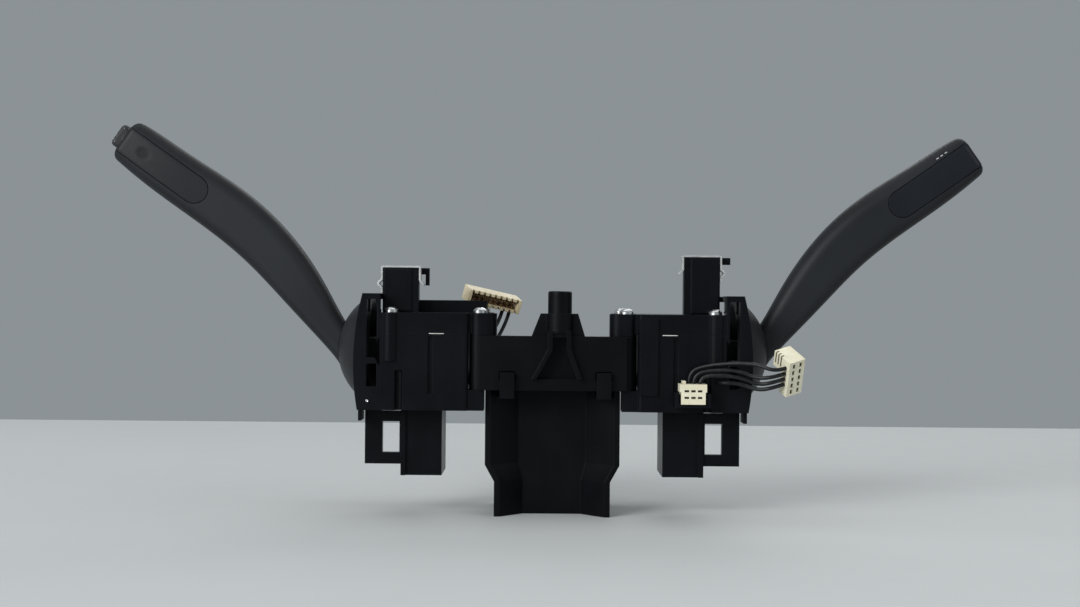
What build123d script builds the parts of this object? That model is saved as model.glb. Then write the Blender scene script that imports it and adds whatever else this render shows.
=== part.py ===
from build123d import *
import os
from math import cos, hypot, radians, sin

os.makedirs("parts", exist_ok=True)

# All sizes are in millimetres and degrees. The origin lies on the steering column's axis at the
# saddle's lower end. +X is the wiper side, +Y points away from the stalks' flat faces,
# +Z points up the column towards the steering wheel.

# Column saddle and carrier
COLUMN_RADIUS = 21.0
SADDLE_HEIGHT = 49.0
SADDLE_HALF_WIDTH = 26.0
SADDLE_FOOT_HALF_WIDTH = 22.4
SADDLE_FOOT_HEIGHT = 13.5
SADDLE_TAPER_TOP = 20.0
SADDLE_WALL = 2.2
SADDLE_RIB = 2.0
SADDLE_POCKETS = 3
TROUGH_FRONT = -33.0
TROUGH_FLOOR = -24.0
TROUGH_HALF_FLOOR = 13.2
SKIRT_BACK = 4.0
HOOK_PLACES = (-17.5, 19.5)
HOOK_WIDTH = 5.6
HOOK_THICKNESS = 2.0
HOOK_RISE = 7.0
CARRIER_TOP = SADDLE_HEIGHT + 20.9
BEAM_FRONT = -38.0
BEAM_THICKNESS = 5.0
ARM_HEIGHT = 6.0
POST_RADIUS = 4.0
POST_X = 28.3
EAR_REACH = 2.6
GUIDE_X = 2.5
GUIDE_RADIUS = 4.6
GUIDE_TOP = CARRIER_TOP + 17.3
GUIDE_COLLAR = 0.7
WEB_RISE = 8.7

# Switch modules: sizes are measured from the lever's pivot, outboard first
PIVOT_X = 60.8
PIVOT_Y = -13.0
PIVOT_Z = SADDLE_HEIGHT + 14.4
MODULE_DEPTH = 48.0
INBOARD = 28.2
OUTBOARD = 5.7
DOME_RADIUS = MODULE_DEPTH / 2 + 0.7
BEZEL_TOP = DOME_RADIUS - 2.3
BOTTOM = -BEZEL_TOP
SPLIT = 7.3
COVER_TOP = 15.1
WALL = 2.0
SCREW_PLACE_Y = MODULE_DEPTH / 2 - 5
COVER_SCREW_X = 1.8
BOSS_RADIUS = 3.4
FRONT_BOSS_RADIUS = 3.2
FRONT_BOSS_INSET = 1.8
FRONT_BOSS_LOW = -3.5
SCREW_RADIUS = 1.5
SCREW_HEAD_RADIUS = 2.7
SCREW_HEAD_HEIGHT = 2.1
SCREW_LENGTH = 18.0
RIGHT_TOWER_TOP = 37.5
LEFT_TOWER_TOP = 32.5
TOWER_INNER = -7.8
TOWER_OUTER = 3.9
TOWER_FRONT = -16.0
TOWER_BACK = -6.0
TOWER_WALL = 1.6
TOWER_RIB = 2.3
LEFT_TOWER_SHIFT = 1.7
HUMP_TOP = 20.0
HUMP_REACH = 6.4
HUMP_FRONT = -8.0
HUMP_BACK = 7.6
CLIP_THICKNESS = 0.7
CLIP_WIDTH = 5.0

# Bezel cage round the dome
DOME_WALL = 2.2
DOME_HALF_ANGLE = 62.5
DOME_CLEARANCE = 0.5
BEZEL_FACE_TOP = 0.506 * DOME_RADIUS
BEZEL_FACE_MID = 0.64 * DOME_RADIUS
BEZEL_FACE_LOW = 0.579 * DOME_RADIUS
BEZEL_PLATE = 1.7

# Lever mechanism
ROCKER_HALF_X = 6.0
ROCKER_HALF_Y = 9.0
ROCKER_HALF_Z = 10.0
ROCKER_WINDOW_Y = 6.2
ROCKER_WINDOW_Z = 7.8
TRUNNION_RADIUS = 3.0
RUN = 0.06
PIN_RADIUS = 2.0
STEM_HALF_Y = 5.2
STEM_HALF_Z = 5.0
TAIL = 20.0
PLUNGER_RADIUS = 2.0
PLUNGER_TIP = 22.75
CAM_RADIUS = 22.95
DETENT_DEPTH = 0.5
LEFT_DETENTS = (-10.0, 0.0, 10.0)
RIGHT_DETENTS = (-5.5, 0.0, 5.5, 11.0)
TURN_PEG_X = 10.5
TURN_PEG_RADIUS = 1.5
PULL_PEG_X = 15.0
PULL_PEG_RADIUS = 1.4
PULL_PEG_REACH = 14.5
RAIL_DEPTH = 3.8
SLIDE_GAP = 0.3

# Stalk arms: root and paddle run along two straight lines that meet at the bend
ROOT_X = DOME_RADIUS - 0.3
ROOT_Z = 4.2
ROOT_ANGLE = 52.5
PADDLE_ANGLE = 35.0
ROOT_LENGTH = 51.2
LEFT_PADDLE = 67.0
RIGHT_PADDLE = 61.5
INSERT_WIDTH = 10.8
INSERT_LENGTH = 41.0
INSERT_GAP = 0.25
BUTTON_WIDTH = 9.6
BUTTON_HEIGHT = 8.4
BUTTON_PROUD = 3.4
BUTTON_LENGTH = 10.0
BUTTON_SPRING = 6.0
TIP_BOARD = 1.2

# Harness sockets under the modules
SOCKET_INNER = -17.6
SOCKET_OUTER = -1.6
SOCKET_HALF_DEPTH = 12.0
SOCKET_BOTTOM = -48.6
SOCKET_WALL = 1.6
GUARD_INNER = 6.3
GUARD_OUTER = 12.5
GUARD_BOTTOM = -44.2
PIN_SIDE = 1.0

# Plugs and leads
LEAD_RADIUS = 0.75
CAVITY_PITCH = 2.5
SIX_WAY_X = PIVOT_X - 7.9
SIX_WAY_Z = PIVOT_Z - 14.6
HEADER_PITCH = 2.4
HEADER_HALF_HEIGHT = 2.9


def block(x0, x1, y0, y1, z0, z1):
    middle = Pos((x0 + x1) / 2, (y0 + y1) / 2, (z0 + z1) / 2)
    return middle * Box(x1 - x0, y1 - y0, z1 - z0)


def rod(radius, start, end):
    run = Vector(*end) - Vector(*start)
    return extrude(Plane(origin=start, z_dir=run) * Circle(radius), run.length)


def front_profile(points, y0, y1):
    # A face drawn in X and Z and pushed back along Y
    outline = Plane.XZ * make_face(Polyline(*points, close=True))
    return Pos(0, y0, 0) * extrude(outline, -(y1 - y0))


def plan_profile(points, z0, z1):
    return extrude(Pos(0, 0, z0) * make_face(Polyline(*points, close=True)), z1 - z0)


def spring(radius, wire, length, turns):
    path = Helix(pitch=(length - 2 * wire) / turns, height=length - 2 * wire, radius=radius)
    section = Plane(origin=path @ 0, z_dir=path % 0) * RegularPolygon(wire, 6)
    return Pos(0, 0, wire) * sweep(section, path=path, is_frenet=True)


def lead(points, radii):
    path = FilletPolyline(*points, radius=radii)
    return sweep(Plane(origin=path @ 0, z_dir=path % 0) * Circle(LEAD_RADIUS), path=path)


def bend_radii(points):
    # Each bend takes 0.45 of the shorter run beside it
    radii = []
    for before, here, after in zip(points, points[1:], points[2:]):
        run_in = Vector(*here) - Vector(*before)
        run_out = Vector(*after) - Vector(*here)
        half_turn = radians(run_in.get_angle(run_out) / 2)
        shorter = min(run_in.length, run_out.length)
        radii.append(0.45 * shorter * cos(half_turn) / sin(half_turn))
    return radii


def save(shape, name):
    export_step(shape, f"parts/{name}.step")


def place(shape, right):
    moved = Pos(PIVOT_X, PIVOT_Y, PIVOT_Z) * shape
    return moved if right else mirror(moved, about=Plane.YZ)


# Column saddle: M-shaped section with a trough in front and a half-round seat for the tube behind
def saddle_section(half, z):
    slope = (half - SADDLE_WALL, TROUGH_FRONT)
    floor = (TROUGH_HALF_FLOOR * half / SADDLE_HALF_WIDTH, TROUGH_FLOOR)
    right = [(half, SKIRT_BACK), (half, TROUGH_FRONT), slope, floor]
    left = [(-x, y) for x, y in reversed(right)]
    return Pos(0, 0, z) * make_face(Polyline(*right, *left, close=True))


def saddle_pocket(z0, z1):
    half = SADDLE_HALF_WIDTH - SADDLE_WALL
    run = half - TROUGH_HALF_FLOOR
    rise = TROUGH_FLOOR - TROUGH_FRONT
    side_front = TROUGH_FRONT + SADDLE_WALL * hypot(run, rise) / run
    back_floor = TROUGH_FLOOR + SADDLE_WALL
    corner = half - (back_floor - side_front) * run / rise
    right = [(half, SKIRT_BACK + 1), (half, side_front), (corner, back_floor)]
    left = [(-x, y) for x, y in reversed(right)]
    return plan_profile(right + left, z0, z1)


def column_saddle():
    foot = saddle_section(SADDLE_FOOT_HALF_WIDTH, 0)
    low = saddle_section(SADDLE_FOOT_HALF_WIDTH, SADDLE_FOOT_HEIGHT)
    high = saddle_section(SADDLE_HALF_WIDTH, SADDLE_TAPER_TOP)
    body = extrude(foot, SADDLE_FOOT_HEIGHT) + loft([low, high], ruled=True)
    body += extrude(high, SADDLE_HEIGHT - SADDLE_TAPER_TOP)
    room = SADDLE_HEIGHT - SADDLE_RIB - SADDLE_TAPER_TOP - SADDLE_RIB
    pitch = (room + SADDLE_RIB) / SADDLE_POCKETS
    for index in range(SADDLE_POCKETS):
        start = SADDLE_TAPER_TOP + SADDLE_RIB + index * pitch
        body -= saddle_pocket(start, start + pitch - SADDLE_RIB)
    body -= rod(COLUMN_RADIUS, (0, 0, -1), (0, 0, SADDLE_HEIGHT + 1))
    front = BEAM_FRONT - 0.2
    for x in HOOK_PLACES:
        side = [
            (front - HOOK_THICKNESS, SADDLE_HEIGHT - 3),
            (TROUGH_FLOOR, SADDLE_HEIGHT - 3),
            (TROUGH_FLOOR, SADDLE_HEIGHT - 0.2),
            (front, SADDLE_HEIGHT - 0.2),
            (front, SADDLE_HEIGHT + HOOK_RISE - 3),
            (front + 1.4, SADDLE_HEIGHT + HOOK_RISE - 3),
            (front, SADDLE_HEIGHT + HOOK_RISE),
            (front - HOOK_THICKNESS, SADDLE_HEIGHT + HOOK_RISE),
        ]
        face = Plane.YZ * make_face(Polyline(*side, close=True))
        hook = Pos(x - HOOK_WIDTH / 2, 0, 0) * extrude(face, HOOK_WIDTH)
        trough = plan_profile([
            (SADDLE_HALF_WIDTH, TROUGH_FRONT), (TROUGH_HALF_FLOOR, TROUGH_FLOOR + 1),
            (-TROUGH_HALF_FLOOR, TROUGH_FLOOR + 1), (-SADDLE_HALF_WIDTH, TROUGH_FRONT),
            (-SADDLE_HALF_WIDTH, front - 5), (SADDLE_HALF_WIDTH, front - 5),
        ], 0, CARRIER_TOP)
        body += hook & trough
    return body


# Carrier: front beam with the guide pin and its ribs, side arms and four screw posts
def column_carrier():
    back = BEAM_FRONT + BEAM_THICKNESS
    floor = SADDLE_HEIGHT
    body = block(-POST_X, POST_X, BEAM_FRONT, back, floor, CARRIER_TOP)
    post_y = (PIVOT_Y - SCREW_PLACE_Y, PIVOT_Y + SCREW_PLACE_Y)
    for x in (-POST_X, POST_X):
        for y in post_y:
            body += rod(POST_RADIUS, (x, y, floor), (x, y, CARRIER_TOP))
        body += block(x - 2, x + 2, post_y[0], post_y[1], floor, floor + ARM_HEIGHT)
    shelf = block(-POST_X, POST_X, back - 1, TROUGH_FLOOR + 1, floor, floor + 2.5)
    body += shelf
    seat = SADDLE_HALF_WIDTH - SADDLE_WALL
    for x in (-POST_X, POST_X):
        inner = seat if x > 0 else x
        outer = x if x > 0 else -seat
        body += block(inner, outer, back, SKIRT_BACK, floor, floor + 2.5)
    body -= rod(COLUMN_RADIUS + 0.6, (0, 0, floor - 1), (0, 0, CARRIER_TOP + 1))
    # A-shaped ribs round the recess under the guide pin
    left, right = GUIDE_X - 2.7, GUIDE_X + 2.6
    recess = [
        (left, CARRIER_TOP + 1), (right, CARRIER_TOP + 1), (right, CARRIER_TOP - 5.3),
        (right + 4.2, floor + 4.5), (left - 6.2, floor + 4.5), (left, CARRIER_TOP - 5.3),
    ]
    rim = [
        (left - 1.7, CARRIER_TOP + 2), (right + 1.7, CARRIER_TOP + 2),
        (right + 1.7, CARRIER_TOP - 4.9), (right + 6, floor + 4.5), (left - 8, floor + 4.5),
        (left - 1.7, CARRIER_TOP - 4.9),
    ]
    body += front_profile(rim, BEAM_FRONT - 2.4, BEAM_FRONT + 2)
    body -= front_profile(recess, BEAM_FRONT - 3, BEAM_FRONT + 3)
    body += block(left, right, BEAM_FRONT - 1.6, BEAM_FRONT + 3, CARRIER_TOP - 0.4, CARRIER_TOP + 2)
    web = [
        (GUIDE_X - 11.2, CARRIER_TOP - 1), (GUIDE_X + 10, CARRIER_TOP - 1),
        (GUIDE_X + 7, CARRIER_TOP + WEB_RISE), (GUIDE_X - 7.4, CARRIER_TOP + WEB_RISE),
    ]
    body += front_profile(web, BEAM_FRONT + 1.4, back - 0.6)
    pin_y = BEAM_FRONT + 2.6
    collar_top = CARRIER_TOP + WEB_RISE
    pin = rod(GUIDE_RADIUS, (GUIDE_X, pin_y, collar_top - 1), (GUIDE_X, pin_y, GUIDE_TOP))
    pin = fillet(pin.edges().group_by(Axis.Z)[-1], 0.8)
    body += pin
    body += rod(GUIDE_RADIUS + GUIDE_COLLAR, (GUIDE_X, pin_y, CARRIER_TOP + 1.5),
                (GUIDE_X, pin_y, collar_top))
    for x in HOOK_PLACES:
        half = HOOK_WIDTH / 2 + 0.3
        low = SADDLE_HEIGHT + HOOK_RISE - 3.3
        body -= block(x - half, x + half, BEAM_FRONT - 1, BEAM_FRONT + 1.7, low, low + 3.6)
    # Pockets in the beam's back keep its wall even
    for x in (-21.0, -15.0, 15.5, 21.5):
        body -= block(x - 2.4, x + 2.4, BEAM_FRONT + 2.2, back + 1, floor + 8, CARRIER_TOP - 2)
    for x in (-POST_X, POST_X):
        for y in post_y:
            low = CARRIER_TOP - SCREW_LENGTH
            body -= rod(SCREW_RADIUS + 0.05, (x, y, low), (x, y, CARRIER_TOP + 1))
    return body


# Module housing: moulded box, open at the top and towards the dome
def module_housing(right):
    half = MODULE_DEPTH / 2
    floor = BOTTOM + WALL
    body = block(-INBOARD, OUTBOARD, -half, half, BOTTOM, SPLIT)
    body = fillet(body.edges().filter_by(Axis.Z).sort_by(Axis.X)[:2], 1.5)
    body -= block(-INBOARD + WALL, OUTBOARD + 1, -half + WALL, half - WALL, floor, SPLIT + 1)
    # Trunnion boss and the two screw bosses
    boss_top = -ROCKER_HALF_Z - 0.4
    body += rod(5, (0, 0, floor - 0.5), (0, 0, boss_top))
    body -= rod(TRUNNION_RADIUS + RUN, (0, 0, boss_top - 5), (0, 0, boss_top + 1))
    for y in (-SCREW_PLACE_Y, SCREW_PLACE_Y):
        body += rod(BOSS_RADIUS, (COVER_SCREW_X, y, floor - 0.5), (COVER_SCREW_X, y, SPLIT))
        hole = SPLIT - SCREW_LENGTH
        body -= rod(SCREW_RADIUS + 0.05, (COVER_SCREW_X, y, hole), (COVER_SCREW_X, y, SPLIT + 1))
    # Lug that stands under the carrier's front post
    lug = SADDLE_HEIGHT - PIVOT_Z
    post = PIVOT_X - POST_X
    body += block(-post - 1.7, -INBOARD + 1, -half + 1, -half + 11, BOTTOM, lug)
    # Rails: one on the floor for the turn slider, two on the front wall for the pull slider
    body += block(-19.2, -17.3, -12, 12, floor - 0.5, -14)
    for x in (-PULL_PEG_X - 5.2, -PULL_PEG_X + 3.3):
        body += block(x, x + 1.9, -half + 1, -half + WALL + RAIL_DEPTH, floor - 0.5, 4)
    # Slot for the terminals, slit in front of the pull slider, lead hole
    body -= block(-14.8, -5.6, -7, 7, BOTTOM - 1, floor + 1)
    body -= block(-PULL_PEG_X - 4, -PULL_PEG_X + 2, -half - 1, -half + WALL + 1, SPLIT - 0.7, SPLIT + 1)
    # Mouldings on the front: corner column, half-round flute, groove, raised pad
    body += rod(FRONT_BOSS_RADIUS, (COVER_SCREW_X, -half + FRONT_BOSS_INSET, FRONT_BOSS_LOW),
                (COVER_SCREW_X, -half + FRONT_BOSS_INSET, SPLIT))
    hole = SPLIT - SCREW_LENGTH
    body -= rod(SCREW_RADIUS + 0.05, (COVER_SCREW_X, -SCREW_PLACE_Y, hole),
                (COVER_SCREW_X, -SCREW_PLACE_Y, SPLIT + 1))
    body -= rod(1.5, (-1.6, -half, BOTTOM - 1), (-1.6, -half, -7))
    body -= block(-14.6, -12.8, -half - 1, -half + 0.8, -16, 6)
    if right:
        body += block(-27.4, -20.6, -half - 1, -half + 1, -16, SPLIT)
        body -= rod(LEAD_RADIUS + 0.1, (2.2, -half - 1, -10.7), (2.2, -half + WALL + 1, -10.7))
    else:
        for y in (6, 9):
            body -= rod(LEAD_RADIUS + 0.1, (-INBOARD - 1, y, -4.4), (-INBOARD + WALL + 1, y, -4.4))
    return body


def tower_sides(right):
    shift = 0 if right else LEFT_TOWER_SHIFT
    return TOWER_INNER + shift, TOWER_OUTER + shift


# Module cover: lid with the two ears on the carrier's posts and the hollow clip tower
def module_cover(right):
    half = MODULE_DEPTH / 2
    top = RIGHT_TOWER_TOP if right else LEFT_TOWER_TOP
    tower_in, tower_out = tower_sides(right)
    ear_low = CARRIER_TOP - PIVOT_Z
    ear_x = POST_X - PIVOT_X
    ceiling = COVER_TOP - WALL
    tab = TOWER_FRONT + CLIP_WIDTH + 0.6
    body = block(-INBOARD, OUTBOARD, -half, half, SPLIT, COVER_TOP)
    body = fillet(body.edges().filter_by(Axis.Z).sort_by(Axis.X)[:2], 1.5)
    body += block(tower_in, tower_out, TOWER_FRONT, TOWER_BACK, ceiling, top)
    body += block(tower_in - TOWER_RIB, tower_in + 0.5, TOWER_FRONT, TOWER_FRONT + CLIP_WIDTH,
                  ceiling, top)
    hollow = block(-INBOARD + WALL, OUTBOARD + 1, -half + WALL, half - WALL, SPLIT - 1, ceiling)
    hollow += block(tower_in + TOWER_WALL, tower_out - TOWER_WALL, TOWER_FRONT + TOWER_WALL,
                    TOWER_BACK - TOWER_WALL, ceiling - 1, top - TOWER_WALL)
    if not right:
        body += block(-INBOARD + 0.6, -3, HUMP_FRONT, HUMP_BACK, ceiling, HUMP_TOP)
        hollow += block(-INBOARD + 2.6, -5.4, HUMP_FRONT + WALL, HUMP_BACK - WALL, ceiling - 1,
                        HUMP_TOP - WALL)
        body += block(-INBOARD - HUMP_REACH, -INBOARD + 1, HUMP_FRONT, HUMP_BACK, COVER_TOP - 1, HUMP_TOP)
    body -= hollow
    for y in (-SCREW_PLACE_Y, SCREW_PLACE_Y):
        reach = EAR_REACH if y < 0 else 0.2
        ear = Pos(ear_x - reach / 2, y, ear_low) * SlotCenterToCenter(reach, 2 * POST_RADIUS)
        body += extrude(ear, COVER_TOP - ear_low)
        body += block(ear_x, -INBOARD + 1, y - 2.6, y + 2.6, SPLIT, COVER_TOP)
        body += rod(BOSS_RADIUS, (COVER_SCREW_X, y, SPLIT), (COVER_SCREW_X, y, COVER_TOP))
        for x in (ear_x, COVER_SCREW_X):
            body -= rod(SCREW_RADIUS + 0.2, (x, y, ear_low - 1), (x, y, COVER_TOP + 1))
    boss_low = ROCKER_HALF_Z + 0.4
    body += rod(5, (0, 0, boss_low), (0, 0, ceiling + 0.5))
    body -= rod(TRUNNION_RADIUS + RUN, (0, 0, boss_low - 1), (0, 0, ceiling - 0.1))
    body += rod(FRONT_BOSS_RADIUS, (COVER_SCREW_X, -half + FRONT_BOSS_INSET, SPLIT),
                (COVER_SCREW_X, -half + FRONT_BOSS_INSET, COVER_TOP))
    body -= rod(SCREW_RADIUS + 0.2, (COVER_SCREW_X, -SCREW_PLACE_Y, SPLIT - 1),
                (COVER_SCREW_X, -SCREW_PLACE_Y, COVER_TOP + 1))
    if right:
        body += block(-27.4, -20.6, -half - 1, -half + 1, SPLIT, COVER_TOP - 1.6)
        body += block(tower_out - 0.5, tower_out + 4.7, tab, tab + 2, top - 2.7, top)
    else:
        reach = tower_in - 6
        hook = [
            (tower_in + 0.5, top), (reach, top), (reach, top - 6.8), (reach + 1.5, top - 6.8),
            (reach + 1.5, top - 2.5), (tower_in + 0.5, top - 2.5),
        ]
        body += front_profile(hook, tab, tab + 2)
    return body


def shroud_clip(right):
    top = RIGHT_TOWER_TOP if right else LEFT_TOWER_TOP
    tower_in, tower_out = tower_sides(right)
    off = CLIP_THICKNESS / 2 + 0.05
    outer = tower_out + off
    inner = tower_in - TOWER_RIB - off
    path = FilletPolyline(
        (outer, top - 9.5), (outer, top - 7.8), (outer + 1.8, top - 6.2), (outer, top - 4.6),
        (outer, top + off), (inner, top + off), (inner, top - 5), (inner - 1.4, top - 6.6),
        radius=[0.5, 0.8, 0.5, 0.4, 0.4, 0.8],
    )
    strip = make_face(Wire(path.edges()).offset_2d(CLIP_THICKNESS / 2))
    return Pos(0, TOWER_FRONT, 0) * extrude(Plane.XZ * strip, -CLIP_WIDTH)


def pan_head_screw():
    h = SCREW_HEAD_HEIGHT
    r = SCREW_HEAD_RADIUS
    outline = Polyline((0, h), (0, -SCREW_LENGTH), (SCREW_RADIUS, -SCREW_LENGTH + 1), (SCREW_RADIUS, 0),
                       (r, 0), (r, 0.4 * h))
    crown = ThreePointArc((r, 0.4 * h), (0.72 * r, 0.84 * h), (0, h))
    body = revolve(Plane.XZ * make_face(outline.edges() + crown.edges()), Axis.Z)
    body -= block(-1.4, 1.4, -0.35, 0.35, h - 0.9, h + 1)
    return body - block(-0.35, 0.35, -1.4, 1.4, h - 0.9, h + 1)


def module_screws():
    places = []
    for x in (POST_X - PIVOT_X, COVER_SCREW_X):
        for y in (-SCREW_PLACE_Y, SCREW_PLACE_Y):
            places.append(Pos(x, y, COVER_TOP) * pan_head_screw())
    return Compound(children=places)


# Bezel cage: curved outer plate with a ball-shaped hole, held off the module by its corner struts
def bezel_frame():
    half = MODULE_DEPTH / 2
    outline = Polyline((BEZEL_FACE_LOW, BOTTOM), (OUTBOARD, BOTTOM), (OUTBOARD, BEZEL_TOP),
                       (BEZEL_FACE_TOP, BEZEL_TOP))
    face_arc = ThreePointArc((BEZEL_FACE_TOP, BEZEL_TOP), (BEZEL_FACE_MID, 0), (BEZEL_FACE_LOW, BOTTOM))
    face = Plane.XZ * make_face(outline.edges() + face_arc.edges())
    body = Pos(0, -half, 0) * extrude(face, -2 * half)
    body -= Sphere(DOME_RADIUS + DOME_CLEARANCE)
    plate = BEZEL_FACE_TOP - BEZEL_PLATE
    for y0, y1 in ((-half - 1, -half + 7), (half - 7, half + 1)):
        body -= block(OUTBOARD + 1.2, plate, y0, y1, -2.2, BEZEL_TOP - 2.2)
        body -= block(OUTBOARD + 1.2, plate, y0, y1, -13.4, -4.6)
    body -= block(OUTBOARD + 1.6, plate, -half + 9, half - 9, BEZEL_TOP - 6, BEZEL_TOP + 1)
    # Open corners behind the cover's lid so that only struts reach the module
    body -= block(OUTBOARD - 1, plate - 0.6, -half + 3, half - 3, COVER_TOP + 1, BEZEL_TOP - 2.2)
    body += block(BEZEL_FACE_LOW - 1.2, BEZEL_FACE_LOW, -half + 4, -half + 14, BOTTOM - 4.4, BOTTOM + 1)
    return body


# Detent cam: ball-shaped track behind the lever's tail with one groove for each position
def detent_cam(angles):
    seat = -INBOARD + WALL
    body = block(seat, -18.5, -9, 9, -8, 8) - Sphere(CAM_RADIUS)
    groove = PLUNGER_RADIUS + 0.3
    centre = CAM_RADIUS + DETENT_DEPTH - groove
    for angle in angles:
        x = -centre * cos(radians(angle))
        y = -centre * sin(radians(angle))
        body -= rod(groove, (x, y, -9), (x, y, 9))
    return body


# Rocker: turns about Z in the housing and cover, carries the cross pin and the turn slider's peg
def rocker():
    body = block(-ROCKER_HALF_X, ROCKER_HALF_X, -ROCKER_HALF_Y, ROCKER_HALF_Y, -ROCKER_HALF_Z, ROCKER_HALF_Z)
    body = fillet(body.edges().filter_by(Axis.Z), 1.2)
    body -= block(-ROCKER_HALF_X - 1, ROCKER_HALF_X + 1, -ROCKER_WINDOW_Y, ROCKER_WINDOW_Y,
                  -ROCKER_WINDOW_Z, ROCKER_WINDOW_Z)
    ceiling = COVER_TOP - WALL
    body += rod(TRUNNION_RADIUS, (0, 0, ROCKER_HALF_Z - 0.5), (0, 0, ceiling - 0.5))
    body += rod(TRUNNION_RADIUS, (0, 0, -ROCKER_HALF_Z + 0.5), (0, 0, -ROCKER_HALF_Z - 4.4))
    body += block(-TURN_PEG_X - 2.5, -ROCKER_HALF_X + 1, -3, 3, -ROCKER_HALF_Z, -ROCKER_WINDOW_Z)
    body += rod(TURN_PEG_RADIUS, (-TURN_PEG_X, 0, -ROCKER_HALF_Z + 0.5), (-TURN_PEG_X, 0, -ROCKER_HALF_Z - 5))
    body -= rod(PIN_RADIUS + 0.01, (0, -ROCKER_HALF_Y - 1, 0), (0, ROCKER_HALF_Y + 1, 0))
    return body


def pivot_pin():
    reach = ROCKER_HALF_Y - 0.3
    return rod(PIN_RADIUS, (0, -reach, 0), (0, reach, 0))


def root_point(distance):
    angle = radians(ROOT_ANGLE)
    return (ROOT_X + distance * cos(angle), ROOT_Z + distance * sin(angle))


def paddle_point(distance):
    x, z = root_point(ROOT_LENGTH)
    angle = radians(PADDLE_ANGLE)
    return (x + distance * cos(angle), z + distance * sin(angle))


def paddle_plane(distance):
    # Plane across the paddle: its z runs out along the paddle, its x across the paddle's width
    x, z = paddle_point(distance)
    angle = radians(PADDLE_ANGLE)
    return Plane(origin=(x, 0, z), x_dir=(-sin(angle), 0, cos(angle)), z_dir=(cos(angle), 0, sin(angle)))


# Lever hub: ball-shaped dome, square stem through the rocker and tail with the plunger's bore
def lever_hub():
    inner = DOME_RADIUS - DOME_WALL
    angle = radians(DOME_HALF_ANGLE)
    rim_out = (DOME_RADIUS * cos(angle), DOME_RADIUS * sin(angle))
    rim_in = (inner * cos(angle), inner * sin(angle))
    mid_out = (DOME_RADIUS * cos(angle / 2), DOME_RADIUS * sin(angle / 2))
    mid_in = (inner * cos(angle / 2), inner * sin(angle / 2))
    edges = ThreePointArc((DOME_RADIUS, 0), mid_out, rim_out).edges()
    edges += Line(rim_out, rim_in).edges()
    edges += ThreePointArc(rim_in, mid_in, (inner, 0)).edges()
    edges += Line((inner, 0), (DOME_RADIUS, 0)).edges()
    dome = revolve(Plane.XZ * make_face(edges), Axis.X)
    across = RectangleRounded(2 * STEM_HALF_Z, 2 * STEM_HALF_Y, 1.2)
    section = Plane(origin=(-TAIL, 0, 0), z_dir=(1, 0, 0)) * across
    stem = extrude(section, TAIL + DOME_RADIUS) & Sphere(DOME_RADIUS - DOME_WALL / 2)
    body = dome + stem
    body -= rod(PIN_RADIUS + RUN, (0, -STEM_HALF_Y - 1, 0), (0, STEM_HALF_Y + 1, 0))
    body -= rod(PLUNGER_RADIUS + RUN, (-TAIL - 1, 0, 0), (-5, 0, 0))
    body += rod(PULL_PEG_RADIUS, (-PULL_PEG_X, -STEM_HALF_Y + 0.6, 0), (-PULL_PEG_X, -PULL_PEG_REACH, 0))
    x0, z0 = root_point(-9)
    x1, z1 = root_point(8)
    body -= rod(3.7, (x0, 0, z0), (x1, 0, z1))
    body -= rod(PLUNGER_RADIUS + RUN, (-TAIL - 1, 0, 0), (-5, 0, 0))
    return body


def arm_section(point, angle, width, thickness):
    x, z = point
    c, s = cos(radians(angle)), sin(radians(angle))
    plane = Plane(origin=(x, 0, z), x_dir=(-s, 0, c), z_dir=(c, 0, s))
    return plane * RectangleRounded(width, thickness, 0.38 * min(width, thickness))


def arm_blank(paddle):
    middle = 0.5 * paddle
    sections = [
        arm_section(root_point(-8), ROOT_ANGLE, 11.6, 11.0),
        arm_section(root_point(14), ROOT_ANGLE, 14.6, 12.0),
        arm_section(root_point(ROOT_LENGTH - 14), ROOT_ANGLE, 19.2, 14.0),
        arm_section(paddle_point(13), PADDLE_ANGLE, 21.0, 15.0),
        arm_section(paddle_point(middle), PADDLE_ANGLE, 20.4, 15.6),
        arm_section(paddle_point(paddle - 9), PADDLE_ANGLE, 18.8, 14.6),
        arm_section(paddle_point(paddle), PADDLE_ANGLE, 17.0, 13.0),
    ]
    blank = loft(sections)
    along = Axis((0, 0, 0), (cos(radians(PADDLE_ANGLE)), 0, sin(radians(PADDLE_ANGLE))))
    tip = blank.faces().sort_by(along)[-1]
    blank = fillet(tip.edges(), 3.0)
    return blank - Sphere(DOME_RADIUS)


def tongue(paddle, extra, depth):
    # Slot-shaped prism over the paddle's front, from its rounded inner end out past the tip
    radius = INSERT_WIDTH / 2 + extra
    outline = Pos(INSERT_LENGTH / 2, 0) * Rectangle(INSERT_LENGTH + 20, 2 * radius)
    outline = Pos(10, 0) * outline + Circle(radius)
    x, z = paddle_point(paddle - INSERT_LENGTH + INSERT_WIDTH / 2)
    c, s = cos(radians(PADDLE_ANGLE)), sin(radians(PADDLE_ANGLE))
    plane = Plane(origin=(x, depth + extra, z), x_dir=(c, 0, s), z_dir=(0, -1, 0))
    return extrude(plane * outline, 30)


def stalk_arm(right):
    paddle = RIGHT_PADDLE if right else LEFT_PADDLE
    depth = 3.0 if right else -BUTTON_HEIGHT / 2 - 0.2
    body = arm_blank(paddle) - tongue(paddle, INSERT_GAP, depth)
    x0, z0 = root_point(-8)
    x1, z1 = root_point(6)
    body += rod(3.6, (x0, 0, z0), (x1, 0, z1))
    if not right:
        reach = BUTTON_LENGTH + BUTTON_SPRING + TIP_BOARD
        pocket = RectangleRounded(BUTTON_WIDTH + 0.4, BUTTON_HEIGHT + 0.4, 2.2)
        body -= extrude(paddle_plane(paddle - reach) * pocket, reach + 10)
    return body


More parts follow.
